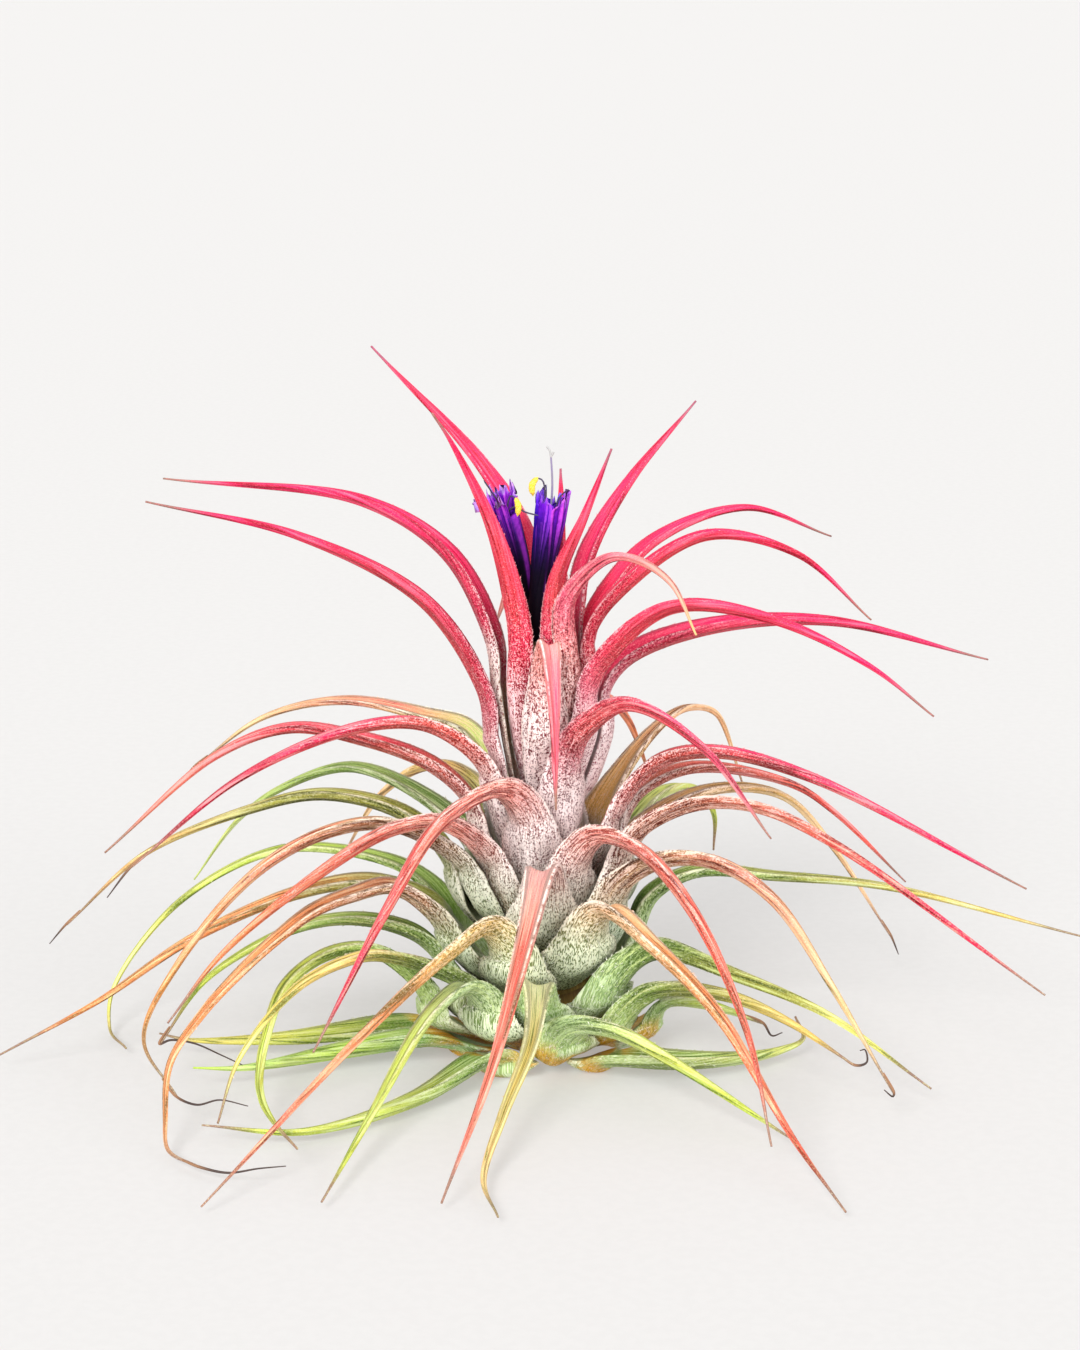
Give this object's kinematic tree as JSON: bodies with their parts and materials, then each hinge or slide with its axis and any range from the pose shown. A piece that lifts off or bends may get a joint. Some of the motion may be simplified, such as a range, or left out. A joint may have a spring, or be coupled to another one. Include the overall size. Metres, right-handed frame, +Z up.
{
  "type": "air plant",
  "caption": "Small air plant in bloom without a pot: a cone of silvery leaf sheaths with arching, drooping channelled blades, and violet tube flowers at its top.",
  "frame": {"origin": "middle of the flat underside of the stem, on the surface that the plant stands on", "axes": "+Z up along the stem; -Y is the side seen in the picture; +X is to its right"},
  "size_m": [0.1565, 0.1319, 0.0988],
  "materials": {
    "leaf_crown": "leathery leaf under a silvery frost of fine scales",
    "leaf_rose": "leathery leaf under a silvery frost of fine scales",
    "leaf_coral": "leathery leaf under a silvery frost of fine scales",
    "leaf_tan": "leathery leaf under a silvery frost of fine scales",
    "leaf_green": "leathery leaf under a silvery frost of fine scales",
    "leaf_olive": "leathery leaf under a silvery frost of fine scales",
    "leaf_lime": "leathery leaf under a silvery frost of fine scales",
    "stem": "dull, fibrous, with remains of old leaf bases",
    "petal": "thin satin petal",
    "stamen": "powdery",
    "pistil": "smooth and waxy"
  },
  "bodies": {
    "root": {"stem": "stem", "leaf_crown_slip": "leaf_crown", "leaf_crown_back_left": "leaf_crown", "leaf_crown_back_right": "leaf_crown", "leaf_crown_front_right": "leaf_crown", "leaf_crown_right": "leaf_crown", "leaf_crown_bent": "leaf_rose", "leaf_crown_front_left": "leaf_crown", "leaf_crown_low_right": "leaf_crown", "leaf_front_folded": "leaf_rose", "leaf_upper_left_far": "leaf_crown", "leaf_upper_right_front": "leaf_crown", "leaf_upper_right_long": "leaf_crown", "leaf_back_high": "leaf_rose", "leaf_upper_left_near": "leaf_crown", "leaf_right_arch": "leaf_rose", "leaf_left_rose_upper": "leaf_rose", "leaf_left_brown": "leaf_tan", "leaf_left_rose_lower": "leaf_rose", "leaf_front_left_coral": "leaf_coral", "leaf_right_thin": "leaf_rose", "leaf_right_tan_high": "leaf_tan", "leaf_back_middle": "leaf_coral", "leaf_left_near_rose": "leaf_coral", "leaf_front_right_salmon": "leaf_coral", "leaf_left_near_tan": "leaf_tan", "leaf_right_long_rose": "leaf_rose", "leaf_left_back_green": "leaf_green", "leaf_right_long_coral": "leaf_coral", "leaf_left_long_olive": "leaf_olive", "leaf_right_tan_low": "leaf_tan", "leaf_back_lower": "leaf_tan", "leaf_front_long": "leaf_coral", "leaf_right_pale_hump": "leaf_green", "leaf_right_hooked": "leaf_tan", "leaf_left_near_hook": "leaf_tan", "leaf_left_far_olive": "leaf_olive", "leaf_front_right_orange": "leaf_tan", "leaf_front_left_orange": "leaf_tan", "leaf_right_far": "leaf_green", "leaf_left_back_hook": "leaf_lime", "leaf_back_low": "leaf_olive", "leaf_left_lime": "leaf_lime", "leaf_left_kinked": "leaf_olive", "leaf_left_yellow": "leaf_lime", "leaf_front_left_low": "leaf_lime", "leaf_front_low": "leaf_lime", "leaf_right_lime": "leaf_lime", "leaf_front_right_low": "leaf_lime", "leaf_right_curled": "leaf_olive", "leaf_right_short": "leaf_green", "leaf_left_foot_near": "leaf_green", "leaf_front_foot": "leaf_green", "leaf_left_foot_far": "leaf_olive", "leaf_right_foot": "leaf_green", "flower_left_petals": "petal", "flower_left_stamens": "stamen", "flower_right_petals": "petal", "flower_right_stamens": "stamen", "flower_right_pistil": "pistil"}
  },
  "joints": []
}
